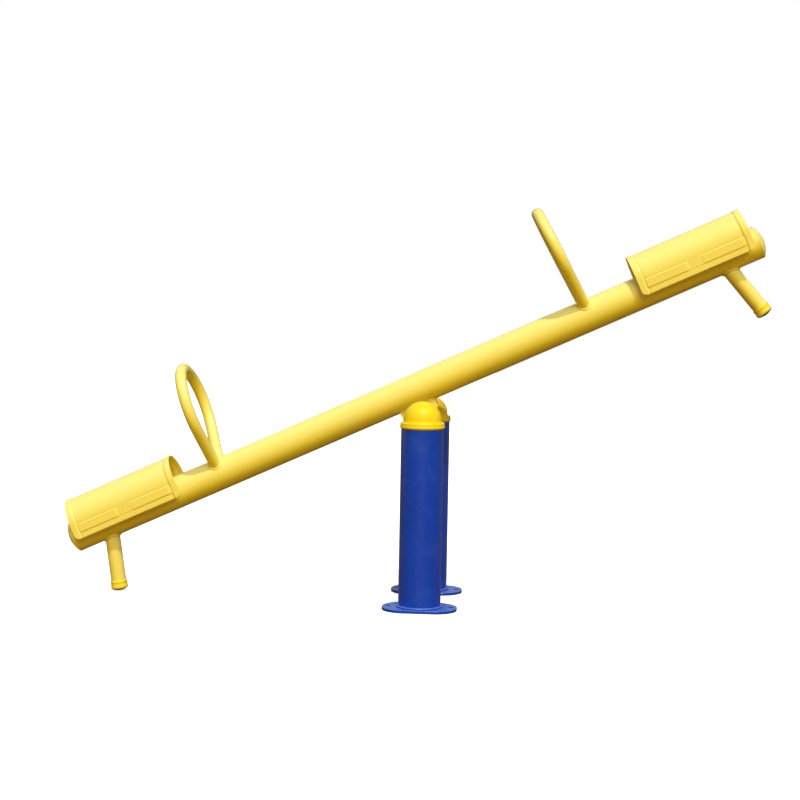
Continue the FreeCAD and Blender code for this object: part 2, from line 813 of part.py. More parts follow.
# ---------------------------------------------------------------- handles
def make_handle(name, along, lean):
    """A closed tube loop whose two limbs land on the beam side by side."""
    foot, base, ring, centre = S.handle_foot, S.handle_foot_above, S.handle_ring, S.handle_ring_above
    span = math.hypot(foot.number, centre.number - base.number)
    swing = math.asin(ring.number / span) - math.atan2(foot.number, centre.number - base.number)
    touch_y = ring.number * math.cos(swing)
    touch_z = centre.number - ring.number * math.sin(swing)
    body = new_body(f"{name}_tube")
    path = new_sketch(body, f"{name}_path", "YZ_Plane")
    near, far = (guess(touch_y), guess(touch_z)), (guess(-touch_y), guess(touch_z))
    corners = [(foot, base), near, far, (-foot, base)]
    arcs = {1: ((0, centre), False)}
    sides = draw_loop(path, corners, arcs, closed=False, joint="Tangent")
    constrain(path, "Radius", sides[1][0], size=ring)
    doc.recompute()
    slope = math.degrees(math.atan2(touch_y - foot.number, touch_z - base.number))
    profile = body.newObject("Sketcher::SketchObject", f"{name}_section")
    level = FreeCAD.Rotation(Vector(1, 0, 0), -slope)
    support = next(item for item in body.Origin.OriginFeatures if item.Role == "XY_Plane")
    profile.AttachmentSupport = (support, [""])
    profile.MapMode = "FlatFace"
    profile.AttachmentOffset = FreeCAD.Placement(Vector(0, foot.number, base.number), level)
    profile.setExpression("AttachmentOffset.Base.y", foot.text)
    profile.setExpression("AttachmentOffset.Base.z", base.text)
    draw_circle(profile, S.handle_tube)
    draw_circle(profile, S.handle_tube - S.handle_wall)
    doc.recompute()
    pipe = body.newObject("PartDesign::AdditivePipe", f"{name}_pipe")
    pipe.Profile = profile
    pipe.Spine = (path, ["Edge1", "Edge2", "Edge3"])
    doc.recompute()
    place(body, x=along, z=S.beam_above, axis=Y_AXIS, angle=lean)
    return cut(f"{name}_coped", body, beam_cutter(f"{name}_beam", along))


for hand, side in HANDS:
    along = S.handle_right_along if side > 0 else S.handle_left_along
    handle = make_handle(f"{hand}_handle", along, S.handle_lean * -side)
    finish(place_on_beam(handle), f"{hand}_handle")


# ---------------------------------------------------------------- legs
def make_leg(name, side):
    """A short tube that leans outwards from under the beam, coped to its surface."""
    outside = cylinder(f"{name}_outside", S.leg_radius, S.leg_length)
    inside = cylinder(f"{name}_inside", S.leg_radius - S.leg_wall, S.leg_length)
    tube = cut(f"{name}_tube", outside, inside)
    angle = 180 + -S.leg_lean
    along = S.leg_along * side
    place(tube, x=along, z=S.beam_above, axis=Vector(0, side, 0), angle=angle)
    return cut(f"{name}_coped", tube, beam_cutter(f"{name}_beam", along))


def make_foot_cap(name):
    """A plastic cup turned about its own Z axis; the leg's end sits on its floor at Z = 0."""
    grip, outer = S.leg_radius + S.stretch_fit, S.foot_cap_radius
    corners = [
        (grip, -S.foot_cap_wrap),
        (outer, -S.foot_cap_wrap),
        (outer, S.foot_cap_floor),
        (0, S.foot_cap_floor),
        (0, 0),
        (grip, 0),
    ]
    return turned(name, corners, plane="XZ_Plane")


def make_foot_pad(name):
    """A domed rubber pad under the foot cap, in the cap's own frame."""
    radius, top = S.foot_pad_radius, S.foot_cap_floor
    side, tip = top + S.foot_pad_side, top + S.foot_pad_tip
    rise, run = tip.number - side.number, radius.number
    centre = tip.number - (rise ** 2 + run ** 2) / (2 * rise)
    corners = [(0, top), (radius, top), (radius, side), (0, tip)]
    return turned(name, corners, {2: ((0, guess(centre)), False)}, plane="XZ_Plane")


for hand, side in HANDS:
    leg = make_leg(f"{hand}_leg", side)
    finish(place_on_beam(leg), f"{hand}_leg")
    reach_along = (S.leg_along + S.leg_length * sine(S.leg_lean)) * side
    reach_above = S.beam_above - S.leg_length * cosine(S.leg_lean)
    turn = (S.leg_lean - 180) * side
    for word, make in (("foot_cap", make_foot_cap), ("foot_pad", make_foot_pad)):
        piece = make(f"{hand}_{word}")
        place_on_beam(piece, along=reach_along, above=reach_above, turn=turn)
        finish(piece, f"{hand}_{word}")

# ---------------------------------------------------------------- check and export
doc.recompute()
for item in doc.Objects:
    for state in item.State:
        if state in ("Invalid", "Error"):
            raise RuntimeError(f"{item.Name} is {state}")
for item in parts:
    if item.Shape.isNull() or not item.Shape.isValid() or not item.Shape.Solids:
        raise RuntimeError(f"{item.Label} has no valid solid")
    item.Shape.exportStep(f"parts/{item.Label}.step")
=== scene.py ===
import json
import math

import bmesh
import bpy
from mathutils import Matrix, Vector, noise

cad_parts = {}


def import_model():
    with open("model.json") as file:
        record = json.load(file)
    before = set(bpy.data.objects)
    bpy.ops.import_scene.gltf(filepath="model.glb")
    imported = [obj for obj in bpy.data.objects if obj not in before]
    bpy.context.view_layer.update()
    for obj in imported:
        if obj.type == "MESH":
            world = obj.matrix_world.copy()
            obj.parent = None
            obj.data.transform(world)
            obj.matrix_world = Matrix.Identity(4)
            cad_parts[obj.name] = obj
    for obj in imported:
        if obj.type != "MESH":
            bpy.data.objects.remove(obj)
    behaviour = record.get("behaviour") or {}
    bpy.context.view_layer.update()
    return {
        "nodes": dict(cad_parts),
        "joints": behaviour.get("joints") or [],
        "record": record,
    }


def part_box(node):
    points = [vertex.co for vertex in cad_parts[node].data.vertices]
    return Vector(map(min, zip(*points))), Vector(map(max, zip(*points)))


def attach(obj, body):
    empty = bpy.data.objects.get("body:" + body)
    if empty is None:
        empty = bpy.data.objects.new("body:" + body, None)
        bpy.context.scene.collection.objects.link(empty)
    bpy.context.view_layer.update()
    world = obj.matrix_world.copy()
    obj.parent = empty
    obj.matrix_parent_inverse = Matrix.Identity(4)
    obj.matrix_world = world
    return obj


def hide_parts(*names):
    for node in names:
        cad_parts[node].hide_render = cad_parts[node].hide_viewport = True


# Playground seesaw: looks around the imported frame. Metres, the frame's own axes.
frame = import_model()

MM = 0.001
Y_AXIS = Vector((0, 1, 0))
Z_AXIS = Vector((0, 0, 1))
ENDS = (("front", -1), ("rear", 1))
HANDS = (("left", -1), ("right", 1))

# ---------------------------------------------------------------- where the beam lies


def end_middle(node, side):
    """The middle of a long tube's end ring, on the side of its lowest (-1) or highest (1) x.

    A straight tube's points all lie on its two end rings, and each point counts once.
    """
    low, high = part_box(node)
    split = (low.x + high.x) / 2
    points = {tuple(round(c, 6) for c in v.co) for v in frame["nodes"][node].data.vertices}
    ring = [Vector(point) for point in points if (point[0] - split) * side > 0]
    return sum(ring, Vector()) / len(ring)


BEAM_ENDS = end_middle("beam_tube", -1), end_middle("beam_tube", 1)
MIDDLE = (BEAM_ENDS[0] + BEAM_ENDS[1]) / 2
MIDDLE.y = 0
ALONG = (BEAM_ENDS[1] - BEAM_ENDS[0]).normalized()
ABOVE = Vector((-ALONG.z, 0, ALONG.x))
BEAM_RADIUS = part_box("beam_tube")[1].y
PIVOT = Vector(next(joint["pos_m"] for joint in frame["joints"] if joint["name"] == "beam_pivot"))


def on_beam(along, across, above):
    """A point given along the beam from its middle, across it and above its axis."""
    return MIDDLE + ALONG * along + Y_AXIS * across + ABOVE * above


def beam_box(node):
    """A node's lowest and highest (along, across, above)."""
    spots = [v.co - MIDDLE for v in frame["nodes"][node].data.vertices]
    spots = [(p.dot(ALONG), p.y, p.dot(ABOVE)) for p in spots]
    return [tuple(pick(values) for values in zip(*spots)) for pick in (min, max)]


# ---------------------------------------------------------------- materials


def add(tree, kind, inputs=(), **settings):
    """A node with its settings and inputs; an input may be a number, a colour or a socket."""
    node = tree.nodes.new(kind)
    for name, value in settings.items():
        setattr(node, name, value)
    for name, value in dict(inputs).items():
        if isinstance(value, bpy.types.NodeSocket):
            tree.links.new(value, node.inputs[name])
        else:
            node.inputs[name].default_value = value
    return node


def new_material(name, **constants):
    """A material, its tree, its shader with the constants set, and its object coordinates."""
    material = bpy.data.materials.new(name)
    material.use_nodes = True
    tree = material.node_tree
    shader = tree.nodes["Principled BSDF"]
    for socket, value in constants.items():
        shader.inputs[socket.replace("_", " ")].default_value = value
    place = add(tree, "ShaderNodeTexCoord").outputs["Object"]
    return material, tree, shader, place


def cloud(tree, place, scale, detail=2.0, rough=0.5):
    """Noise from 0 to 1, with about scale cells to the metre."""
    inputs = {"Vector": place, "Scale": scale, "Detail": detail, "Roughness": rough}
    return add(tree, "ShaderNodeTexNoise", inputs).outputs["Fac"]


def remap(tree, value, start, stop, low, high):
    """A value that goes from low to high as another goes from start to stop."""
    inputs = {"Value": value, "From Min": start, "From Max": stop, "To Min": low, "To Max": high}
    return add(tree, "ShaderNodeMapRange", inputs).outputs["Result"]


def mix(tree, factor, first, second):
    """The first colour at factor 0 and the second at 1; each may be a socket."""
    node = add(tree, "ShaderNodeMix", data_type="RGBA")
    # the node has sockets for every data type: these are the factor's and the colours'
    for number, value in ((0, factor), (6, first), (7, second)):
        if isinstance(value, bpy.types.NodeSocket):
            tree.links.new(value, node.inputs[number])
        else:
            node.inputs[number].default_value = value
    return node.outputs[2]


def bump(tree, height, distance, strength=1.0, under=None):
    """A normal for a surface raised by height, over another bump where one is given."""
    inputs = {"Height": height, "Distance": distance, "Strength": strength}
    if under is not None:
        inputs["Normal"] = under
    return add(tree, "ShaderNodeBump", inputs).outputs["Normal"]


def rgb(red, green, blue):
    return (red, green, blue, 1.0)


def paint(name, base, deep, pale_wear_and_sheen, sheen_rise, gloss):
    """Sprayed enamel: uneven film, orange peel, faint runs and rubbed patches.

    Upward faces get a painted sheen, paler as their normal's height goes from the first of the three
    sheen numbers to the second, by up to the third.
    """
    material, tree, shader, place = new_material(
        name, Coat_Weight=0.25, Coat_Roughness=0.16, IOR=1.45
    )
    film = remap(tree, cloud(tree, place, 7, 3), 0.3, 0.7, 0.0, 0.6)
    colour = mix(tree, film, base, deep)
    facing = add(tree, "ShaderNodeNewGeometry").outputs["Normal"]
    upward = add(tree, "ShaderNodeSeparateXYZ", {"Vector": facing}).outputs["Z"]
    # painted sheen: upward-facing faces painted paler, as overhead light would show them
    colour = mix(tree, remap(tree, upward, sheen_rise[0], sheen_rise[1], 0.0, sheen_rise[2]), colour, pale_wear_and_sheen)
    specks = remap(tree, cloud(tree, place, 420, 2, 0.7), 0.66, 0.78, 0.0, 0.15)
    colour = mix(tree, specks, colour, pale_wear_and_sheen)
    rubbed = remap(tree, cloud(tree, place, 19, 5, 0.62), 0.52, 0.74, 0.0, 0.12)
    colour = mix(tree, rubbed, colour, pale_wear_and_sheen)
    tree.links.new(colour, shader.inputs["Base Color"])
    dulled = remap(tree, cloud(tree, place, 34, 4, 0.6), 0.35, 0.7, gloss, gloss + 0.14)
    tree.links.new(dulled, shader.inputs["Roughness"])
    sag = bump(tree, cloud(tree, place, 48, 1), 0.00035, 0.5)
    peel = bump(tree, cloud(tree, place, 520, 1), 0.00007, 0.5, sag)
    tree.links.new(peel, shader.inputs["Normal"])
    return material


def plastic(name, base, deep):
    """Moulded plastic with faint flow marks and fine scratches."""
    material, tree, shader, place = new_material(name, IOR=1.42)
    flow = remap(tree, cloud(tree, place, 16, 2), 0.35, 0.65, 0.0, 0.4)
    tree.links.new(mix(tree, flow, base, deep), shader.inputs["Base Color"])
    fine = cloud(tree, place, 90, 6, 0.75)
    tree.links.new(remap(tree, fine, 0.4, 0.65, 0.42, 0.55), shader.inputs["Roughness"])
    tree.links.new(bump(tree, fine, 0.00005, 0.5), shader.inputs["Normal"])
    return material


def rubber(name, base, dust):
    """Moulded rubber with a fine grain and dusty hollows."""
    material, tree, shader, place = new_material(name, IOR=1.48)
    chalk = remap(tree, cloud(tree, place, 60, 5, 0.65), 0.45, 0.72, 0.0, 0.55)
    tree.links.new(mix(tree, chalk, base, dust), shader.inputs["Base Color"])
    grain = cloud(tree, place, 1400, 2, 0.6)
    tree.links.new(remap(tree, grain, 0.3, 0.7, 0.72, 0.92), shader.inputs["Roughness"])
    tree.links.new(bump(tree, grain, 0.0001, 0.7), shader.inputs["Normal"])
    return material


def steel(name, base, shade, low, high, cells):
    """Bare metal: a crystalline or machined tone, as rough as low to high says."""
    material, tree, shader, place = new_material(name, Metallic=1.0)
    inputs = {"Vector": place, "Scale": cells}
    crystal = add(tree, "ShaderNodeTexVoronoi", inputs).outputs["Color"]
    tree.links.new(mix(tree, crystal, base, shade), shader.inputs["Base Color"])
    haze = cloud(tree, place, 70, 5, 0.7)
    tree.links.new(remap(tree, haze, 0.35, 0.7, low, high), shader.inputs["Roughness"])
    lathe_marks = cloud(tree, place, 900, 1)
    tree.links.new(bump(tree, lathe_marks, 0.00003, 0.5), shader.inputs["Normal"])
    return material


MATERIALS = {
    "yellow_paint": paint(
        "yellow_enamel",
        base=rgb(0.94, 0.71, 0.016),
        deep=rgb(0.91, 0.65, 0.01),
        # the pale tone serves rubbed wear and specks, and the painted sheen on upward faces
        pale_wear_and_sheen=rgb(0.95, 0.84, 0.25),
        sheen_rise=(-0.5, 0.6, 0.85),
        gloss=0.32,
    ),
    "blue_paint": paint(
        "blue_enamel",
        base=rgb(0.004, 0.052, 0.43),
        deep=rgb(0.003, 0.04, 0.35),
        # the pale tone serves rubbed wear and specks, and a painted sky reflection on the plates' tops
        pale_wear_and_sheen=rgb(0.1, 0.2, 0.62),
        sheen_rise=(0.2, 0.9, 0.75),
        gloss=0.24,
    ),
    "yellow_plastic": plastic("cap_plastic", rgb(0.94, 0.7, 0.004), rgb(0.93, 0.63, 0.003)),
    "cup_plastic": plastic("cup_plastic", rgb(0.94, 0.73, 0.03), rgb(0.92, 0.67, 0.02)),
    "grey_rubber": rubber("pad_rubber", rgb(0.12, 0.12, 0.11), rgb(0.34, 0.33, 0.3)),
    "black_rubber": rubber("seal_rubber", rgb(0.012, 0.012, 0.012), rgb(0.06, 0.06, 0.06)),
    "zinc_steel": steel("zinc_plate", rgb(0.62, 0.63, 0.65), rgb(0.5, 0.51, 0.54), 0.22, 0.42, 260),
    "bearing_steel": steel("ground_steel", rgb(0.74, 0.75, 0.77), rgb(0.66, 0.67, 0.7), 0.1, 0.24, 900),
    "cage_steel": steel("pressed_steel", rgb(0.52, 0.51, 0.49), rgb(0.4, 0.39, 0.37), 0.35, 0.55, 500),
}

for part in frame["record"]["subparts"]:
    node = frame["nodes"][part["node"]]
    node.data.materials.clear()
    node.data.materials.append(MATERIALS[part["material_slot"]])

# ---------------------------------------------------------------- mesh tools
MERGE_DISTANCE = 1e-7


def make_piece(name, points, faces, body, slot, stands_for=(), sharp=35, finish=None):
    """A smooth-shaded mesh that rides on a body, with its slot's finish or a named one."""
    mesh = bpy.data.meshes.new(name)
    mesh.from_pydata([tuple(point) for point in points], [], faces)
    work = bmesh.new()
    work.from_mesh(mesh)
    bmesh.ops.remove_doubles(work, verts=work.verts, dist=MERGE_DISTANCE)
    bmesh.ops.recalc_face_normals(work, faces=work.faces)
    work.to_mesh(mesh)
    work.free()
    mesh.polygons.foreach_set("use_smooth", [True] * len(mesh.polygons))
    mesh.set_sharp_from_angle(angle=math.radians(sharp))
    piece = bpy.data.objects.new(name, mesh)
    bpy.context.scene.collection.objects.link(piece)
    mesh.materials.append(MATERIALS[finish or slot])
    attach(piece, body)
    if stands_for:
        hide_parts(*stands_for)
    return piece


def skin(rows, wrap_rows=False, wrap_columns=False):
    """Quads over a grid of points given row by row."""
    height, width = len(rows), len(rows[0])
    faces = []
    for row in range(height if wrap_rows else height - 1):
        for column in range(width if wrap_columns else width - 1):
            next_row, next_column = (row + 1) % height, (column + 1) % width
            faces.append((
                row * width + column,
                row * width + next_column,
                next_row * width + next_column,
                next_row * width + column,
            ))
    return [point for row in rows for point in row], faces


def softened(profile, radius, steps=4):
    """A profile with its corners rounded off; the first and last points stay."""
    profile = [Vector(point) for point in profile]
    out = [profile[0]]
    for before, corner, after in zip(profile, profile[1:], profile[2:]):
        back, ahead = before - corner, after - corner
        start = corner + back.normalized() * min(radius, back.length * 0.45)
        stop = corner + ahead.normalized() * min(radius, ahead.length * 0.45)
        for step in range(steps + 1):
            t = step / steps
            out.append(start * (1 - t) ** 2 + corner * 2 * t * (1 - t) + stop * t ** 2)
    out.append(profile[-1])
    return out


def lathe(profile, foot, axis, steps=120):
    """Points and faces of a profile of (radius, height) turned about an axis through foot."""
    side = axis.orthogonal().normalized()
    other = axis.cross(side)
    turn = [math.tau * step / steps for step in range(steps)]
    arms = [side * math.cos(angle) + other * math.sin(angle) for angle in turn]
    rows = [[foot + axis * height + arm * radius for arm in arms] for radius, height in profile]
    return skin(rows, wrap_columns=True)


def spaced(line, step, closed):
    """Points about step apart along a line."""
    line = line + line[:1] if closed else line
    out, left = [line[0]], step
    for start, stop in zip(line, line[1:]):
        length, done = (stop - start).length, 0.0
        while length - done > left:
            done += left
            out.append(start.lerp(stop, done / length))
            left = step
        left -= length - done
    return out[:-1] if closed and (out[-1] - out[0]).length < step / 2 else out


BEAD_PITCH = 2.6 * MM
BEAD_SIDES = 10
RIPPLE_POINTS = 5
BEAD_LEAST = 0.86
RIPPLE_DEPTH = 0.16
BEAD_WANDER = 0.16
WANDER_SCALE = 120
TAPER_POINTS = 6
TAPER_TIP = 0.04


def weld(name, line, radius, closed, body="rocker", slot="yellow_paint"):
    """A weld bead along a line: overlapping ripples, a little uneven, with tapered ends."""
    points = spaced(line, BEAD_PITCH / RIPPLE_POINTS, closed)
    count = len(points)
    turn = [math.tau * step / BEAD_SIDES for step in range(BEAD_SIDES)]
    rows = []
    up = None
    for number, point in enumerate(points):
        if closed:
            tangent = points[(number + 1) % count] - points[number - 1]
        else:
            tangent = points[min(number + 1, count - 1)] - points[max(number - 1, 0)]
        tangent.normalize()
        up = tangent.orthogonal() if up is None else up - tangent * up.dot(tangent)
        up.normalize()
        side = tangent.cross(up)
        ripple = (number / RIPPLE_POINTS) % 1
        size = radius * (BEAD_LEAST + RIPPLE_DEPTH * math.sqrt(1 - ripple))
        size *= 1 + BEAD_WANDER * noise.noise(point * WANDER_SCALE)
        if not closed:
            edge = min(number, count - 1 - number) / TAPER_POINTS
            size *= math.sqrt(min(1.0, edge + TAPER_TIP))
        rows.append([point + (up * math.cos(a) + side * math.sin(a)) * size for a in turn])
    if closed:
        # the sides may have turned on the way round, so the closing row starts at the nearest side
        last, first = rows[-1], rows[0]
        shift = min(range(BEAD_SIDES), key=lambda k: (last[0] - first[k]).length)
        rows.append([first[(k + shift) % BEAD_SIDES] for k in range(BEAD_SIDES)])
    shell, faces = skin(rows, wrap_columns=True)
    if not closed:
        faces.append(tuple(range(BEAD_SIDES)))
        faces.append(tuple(len(shell) - BEAD_SIDES + k for k in range(BEAD_SIDES)))
    make_piece(name, shell, faces, body, slot, sharp=80)


def circle(centre, axis, radius, start=0.0, stop=math.tau, zero=None, steps=180):
    """Points round an axis, from one angle to another, angle 0 being towards zero."""
    zero = zero if zero is not None else axis.orthogonal().normalized()
    side = axis.cross(zero)
    angles = [start + (stop - start) * step / steps for step in range(steps + 1)]
    line = [centre + (zero * math.cos(a) + side * math.sin(a)) * radius for a in angles]
    return line[:-1] if abs(stop - start - math.tau) < 1e-6 else line


def meeting_line(foot, direction, radius, steps=120):
    """The closed line where a round limb that leaves foot in direction comes out of the beam."""
    first = direction.orthogonal().normalized()
    second = direction.cross(first)
    run = direction - ALONG * direction.dot(ALONG)
    line = []
    for step in range(steps):
        angle = math.tau * step / steps
        edge = foot + (first * math.cos(angle) + second * math.sin(angle)) * radius
        start = edge - MIDDLE
        start -= ALONG * start.dot(ALONG)
        a, b, c = run.dot(run), start.dot(run), start.dot(start) - BEAM_RADIUS ** 2
        reach = (-b + math.sqrt(max(b * b - a * c, 0))) / a
        line.append(edge + direction * reach)
    return line


# ---------------------------------------------------------------- seats
SEAT_WALL = 2.5 * MM
BAND_WIDTH = 15 * MM
BAND_RISE = 1.5 * MM
BAND_EDGE = 2 * MM
GROOVE_DEPTH = 1.0 * MM
GROOVE_INSET = (4 * MM, 5 * MM)
RIB_RISE = 1.2 * MM
RIB_EDGE = 1.6 * MM
CREASE_DEPTH = 1.0 * MM
CREASE_WIDTH = 1.5 * MM
UPPER_CREASE_DEPTH = 0.6
LOWER_CREASE_SPREAD = 1.6
RIB_START = 23 * MM
RIB_STOP = 141 * MM
SIDE_RIB = (7 * MM, 28 * MM)
CREST_RIB = (27 * MM, 38 * MM)
SKIRT_CORNER = 13 * MM
SHEET_WAVE = 0.5 * MM
WAVE_SCALE = (9, 11)
SHEET_EDGE = 0.8 * MM
SHEET_EDGE_ANGLE = 62
SEAT_SHARP = 80
STEP_ALONG = (6 * MM, 0.9 * MM)
END_MARK = 3 * MM
STEP_ACROSS = (0.028, 0.0055)


def plateau(value, low, high, blend):
    """1 between low and high, falling smoothly to 0 over blend outside them."""
    t = min(max(low - value, value - high, 0) / blend, 1)
    return 1 - t * t * (3 - 2 * t)


def stations(reach, marks, coarse, fine):
    """Values from -reach to reach, close together within a few fine steps of each mark."""
    values = [-reach]
    while values[-1] < reach - 1e-9:
        near = any(abs(abs(values[-1]) - mark) < fine * 5 for mark in marks)
        values.append(min(reach, values[-1] + (fine if near else coarse)))
    return values


def pressed_seat(hand, side):
    """A bent sheet with raised end bands, pressed ribs and creases, and rounded skirt corners.

    u runs along the beam from the seat's middle and v down the sheet from its crest.
    """
    low, high = beam_box(f"{hand}_seat")
    half_length = (high[0] - low[0]) / 2
    middle = (high[0] + low[0]) / 2
    radius = high[1] - BAND_RISE
    crown, skirt = high[2] - high[1], low[2]
    quarter = radius * math.pi / 2
    reach = quarter + crown - skirt
    band = half_length - BAND_WIDTH

    def height_of(v):
        return crown + radius * math.cos(v / radius) if v < quarter else crown - (v - quarter)

    def rise(u, v):
        u, v = abs(u), abs(v)
        height = height_of(v)
        lift = BAND_RISE * plateau(u, band, half_length, BAND_EDGE)
        groove = plateau(u, band - GROOVE_INSET[1], band - GROOVE_INSET[0], BAND_EDGE)
        lift -= GROOVE_DEPTH * groove
        inside = plateau(u, RIB_START, RIB_STOP, RIB_EDGE)
        lift += RIB_RISE * inside * plateau(height, *SIDE_RIB, RIB_EDGE)
        crease_above = SIDE_RIB[1] + RIB_EDGE + CREASE_WIDTH / 2
        crease_below = SIDE_RIB[0] - RIB_EDGE - CREASE_WIDTH / 2
        full = plateau(u, 0, RIB_STOP, RIB_EDGE)
        upper = plateau(height, crease_above, crease_above, CREASE_WIDTH)
        lower = plateau(height, crease_below, crease_below, CREASE_WIDTH * LOWER_CREASE_SPREAD)
        lift -= CREASE_DEPTH * UPPER_CREASE_DEPTH * inside * upper
        lift -= CREASE_DEPTH * full * lower
        lift += RIB_RISE * full * plateau(v, *CREST_RIB, RIB_EDGE)
        return lift

    # how far down the sheet each edge of a side rib lies, to the millimetre
    side_marks = [
        next(v / 1000 for v in range(1000) if height_of(v / 1000) < mark) for mark in SIDE_RIB
    ]
    across = stations(1.0, [mark / reach for mark in (*CREST_RIB, *side_marks)], *STEP_ACROSS)
    end_marks = [band, band - GROOVE_INSET[0], RIB_START, RIB_STOP, half_length - END_MARK]
    columns = stations(half_length, end_marks, *STEP_ALONG)
    rows = []
    for u in columns:
        into = abs(u) - (half_length - SKIRT_CORNER)
        trim = SKIRT_CORNER - math.sqrt(max(SKIRT_CORNER ** 2 - max(into, 0) ** 2, 0))
        row = []
        for share in across:
            v = share * (reach - trim)
            # each seat has waves of its own
            place = Vector((u * WAVE_SCALE[0] + side * 5, v * WAVE_SCALE[1], side * 0.3))
            wave = noise.noise(place)
            out = radius - SEAT_WALL / 2 + rise(u, v) - SHEET_WAVE * (wave + 1) / 2
            if abs(v) < quarter:
                y, up = out * math.sin(v / radius), crown + out * math.cos(v / radius)
            else:
                y, up = math.copysign(out, v), crown - (abs(v) - quarter)
            row.append(on_beam(middle + u, y, up))
        rows.append(row)
    points, faces = skin(rows)
    name, stood_for = f"{hand}_seat_shell", [f"{hand}_seat"]
    seat = make_piece(name, points, faces, "rocker", "yellow_paint", stood_for, SEAT_SHARP)
    thick = seat.modifiers.new("sheet", "SOLIDIFY")
    thick.thickness = SEAT_WALL
    thick.offset = 0
    rounded = seat.modifiers.new("edge", "BEVEL")
    rounded.width = SHEET_EDGE
    rounded.segments = 2
    rounded.limit_method = "ANGLE"
    rounded.angle_limit = math.radians(SHEET_EDGE_ANGLE)


SADDLE_THICK = 5 * MM
SADDLE_BEAD = 2.2 * MM
SADDLE_BEAD_OUT = 0.4 * MM
for hand, side in HANDS:
    pressed_seat(hand, side)
    for word in ("inner", "outer"):
        low, high = beam_box(f"{hand}_{word}_saddle")
        dip = math.asin(low[2] / BEAM_RADIUS)
        for face, offset in (("near", 0.0), ("far", SADDLE_THICK)):
            centre = on_beam(low[0] + offset, 0, 0)
            line = circle(centre, ALONG, BEAM_RADIUS + SADDLE_BEAD_OUT, dip, math.pi - dip, Y_AXIS)
            weld(f"{hand}_{word}_saddle_{face}_weld", line, SADDLE_BEAD, False)

# ---------------------------------------------------------------- handles and legs
HANDLE_ALONG = {"left": -574 * MM, "right": 535 * MM}
HANDLE_TUBE = 16 * MM
HANDLE_LEAN = math.radians(3.8)
HANDLE_FOOT = 28 * MM
HANDLE_FOOT_ABOVE = 30 * MM
HANDLE_RING = 112 * MM
HANDLE_RING_ABOVE = 196 * MM
HANDLE_BEAD = 3 * MM
HANDLE_BEAD_OUT = 0.6 * MM
LEG_ALONG = 917 * MM
LEG_LEAN = math.radians(16)
LEG_LENGTH = 185.7 * MM
LEG_TUBE = 21 * MM
LEG_BEAD = 3.4 * MM
LEG_BEAD_OUT = 0.8 * MM
CAP_BEAD = 1.5 * MM
CAP_BEAD_IN = 0.9 * MM
FOOT_RADIUS = 23.4 * MM
FOOT_BORE = LEG_TUBE + 0.1 * MM
FOOT_GROOVE = 0.9 * MM
FOOT_WRAP = 17 * MM
FOOT_FLOOR = 3 * MM
PAD_RADIUS = 21.4 * MM
PAD_SIDE = 2 * MM
PAD_TIP = 7 * MM
PAD_RINGS = 14
PAD_GRIP = 0.7 * MM


def foot_cap(hand, foot, axis):
    """A moulded cup on the leg's end, waisted between a rolled lip and a thick floor."""
    waist = FOOT_RADIUS - FOOT_GROOVE
    profile = [(FOOT_BORE, -FOOT_WRAP), (FOOT_RADIUS - 0.6 * MM, -FOOT_WRAP)]
    profile += [(FOOT_RADIUS, -FOOT_WRAP + 1.5 * MM), (FOOT_RADIUS, -FOOT_WRAP + 4 * MM)]
    profile += [(waist, -FOOT_WRAP + 5 * MM), (waist, -5.5 * MM)]
    profile += [(FOOT_RADIUS, -4.5 * MM), (FOOT_RADIUS, FOOT_FLOOR), (0, FOOT_FLOOR)]
    profile = softened(profile, 1.3 * MM)
    profile += [(0, 0.2 * MM), (FOOT_BORE, 0.2 * MM), profile[0]]
    points, faces = lathe(profile, foot, axis, 72)
    name, stood_for = f"{hand}_foot_cup", [f"{hand}_foot_cap"]
    make_piece(name, points, faces, "rocker", "yellow_plastic", stood_for, finish="cup_plastic")


def foot_pad(hand, foot, axis):
    """A domed rubber sole with rings of grip."""
    profile = [(0, FOOT_FLOOR), (PAD_RADIUS, FOOT_FLOOR), (PAD_RADIUS, FOOT_FLOOR + PAD_SIDE)]
    for ring in range(1, PAD_RINGS + 1):
        share = 1 - ring / PAD_RINGS
        height = FOOT_FLOOR + PAD_TIP - (PAD_TIP - PAD_SIDE) * share ** 2
        cutback = PAD_GRIP if ring % 4 in (1, 2) and ring < PAD_RINGS - 1 else 0
        profile.append((PAD_RADIUS * share, height - cutback))
    points, faces = lathe(softened(profile, 0.8 * MM, 3), foot, axis, 72)
    make_piece(f"{hand}_foot_sole", points, faces, "rocker", "grey_rubber", [f"{hand}_foot_pad"], 50)


limb_rise = HANDLE_RING_ABOVE - HANDLE_FOOT_ABOVE
limb_span = math.hypot(HANDLE_FOOT, limb_rise)
limb_swing = math.asin(HANDLE_RING / limb_span) - math.atan2(HANDLE_FOOT, limb_rise)
for hand, side in HANDS:
    up = ABOVE * math.cos(HANDLE_LEAN) - ALONG * side * math.sin(HANDLE_LEAN)
    root = on_beam(HANDLE_ALONG[hand], 0, 0) + up * HANDLE_FOOT_ABOVE
    for limb, out in (("near", -Y_AXIS), ("far", Y_AXIS)):
        slope = up * math.cos(limb_swing) + out * math.sin(limb_swing)
        line = meeting_line(root + out * HANDLE_FOOT, slope, HANDLE_TUBE + HANDLE_BEAD_OUT)
        weld(f"{hand}_handle_{limb}_weld", line, HANDLE_BEAD, True)

    direction = ALONG * side * math.sin(LEG_LEAN) - ABOVE * math.cos(LEG_LEAN)
    root = on_beam(LEG_ALONG * side, 0, 0)
    line = meeting_line(root, direction, LEG_TUBE + LEG_BEAD_OUT)
    weld(f"{hand}_leg_weld", line, LEG_BEAD, True)
    foot_cap(hand, root + direction * LEG_LENGTH, direction)
    foot_pad(hand, root + direction * LEG_LENGTH, direction)

    tube_end = BEAM_ENDS[0] if side < 0 else BEAM_ENDS[1]
    line = circle(tube_end, ALONG, BEAM_RADIUS - CAP_BEAD_IN)
    weld(f"{hand}_end_cap_weld", line, CAP_BEAD, True)

